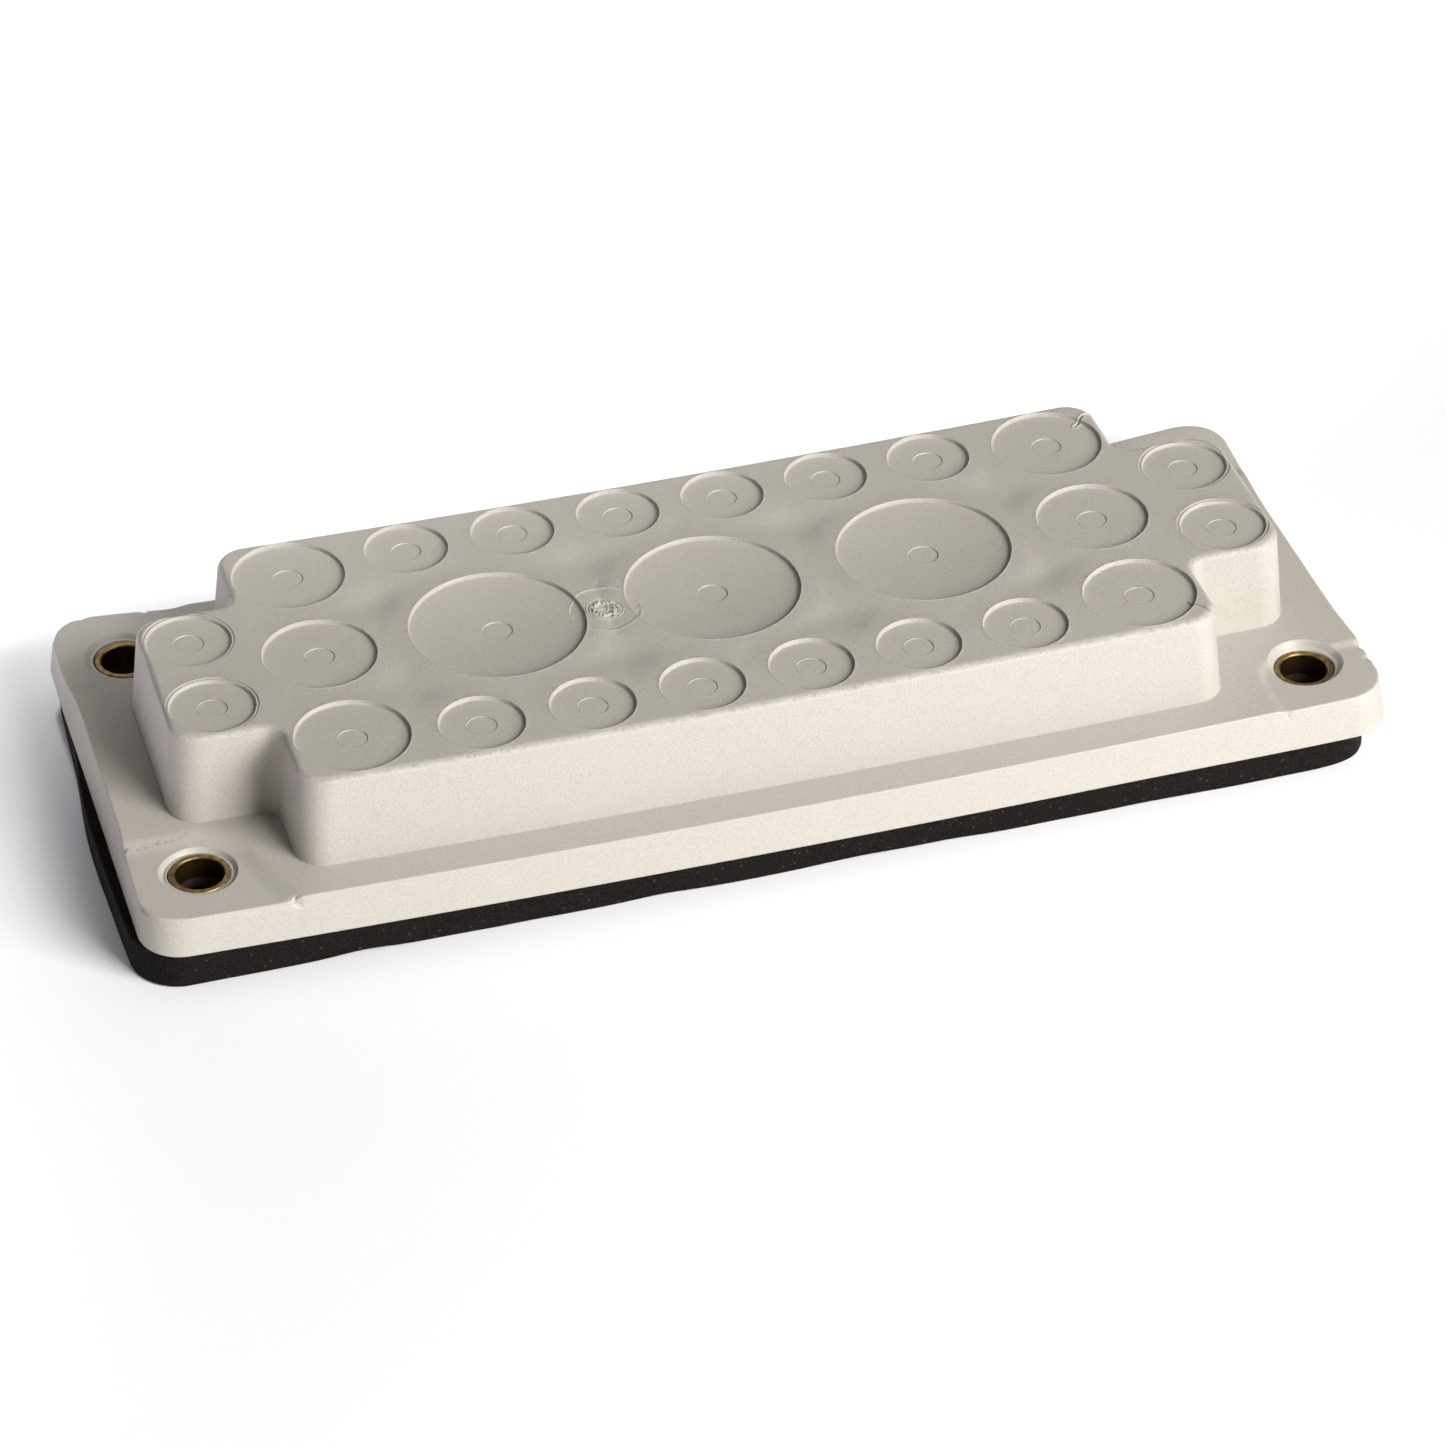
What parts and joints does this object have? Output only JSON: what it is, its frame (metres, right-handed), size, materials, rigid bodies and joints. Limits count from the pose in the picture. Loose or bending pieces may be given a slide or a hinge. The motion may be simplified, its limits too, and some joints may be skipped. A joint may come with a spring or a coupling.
{
  "type": "multi-membrane cable entry plate",
  "caption": "Soft flanged plate with a raised notched block of round pierceable cable membranes, brass screw sleeves in its corners and a foam gasket below.",
  "frame": {"origin": "centre of the plate's footprint, on the face that the gasket seats on", "axes": "+X along the plate's length, +Y across its width, +Z out of the enclosure, towards the membranes"},
  "size_m": [0.2316, 0.0936, 0.0315],
  "materials": {
    "elastomer": "satin",
    "sleeve_brass": "tarnished",
    "foam": "matt"
  },
  "bodies": {
    "root": {"membrane_plate": "elastomer", "sleeve_front_left": "sleeve_brass", "sleeve_front_right": "sleeve_brass", "sleeve_back_left": "sleeve_brass", "sleeve_back_right": "sleeve_brass", "foam_gasket": "foam"}
  },
  "joints": []
}
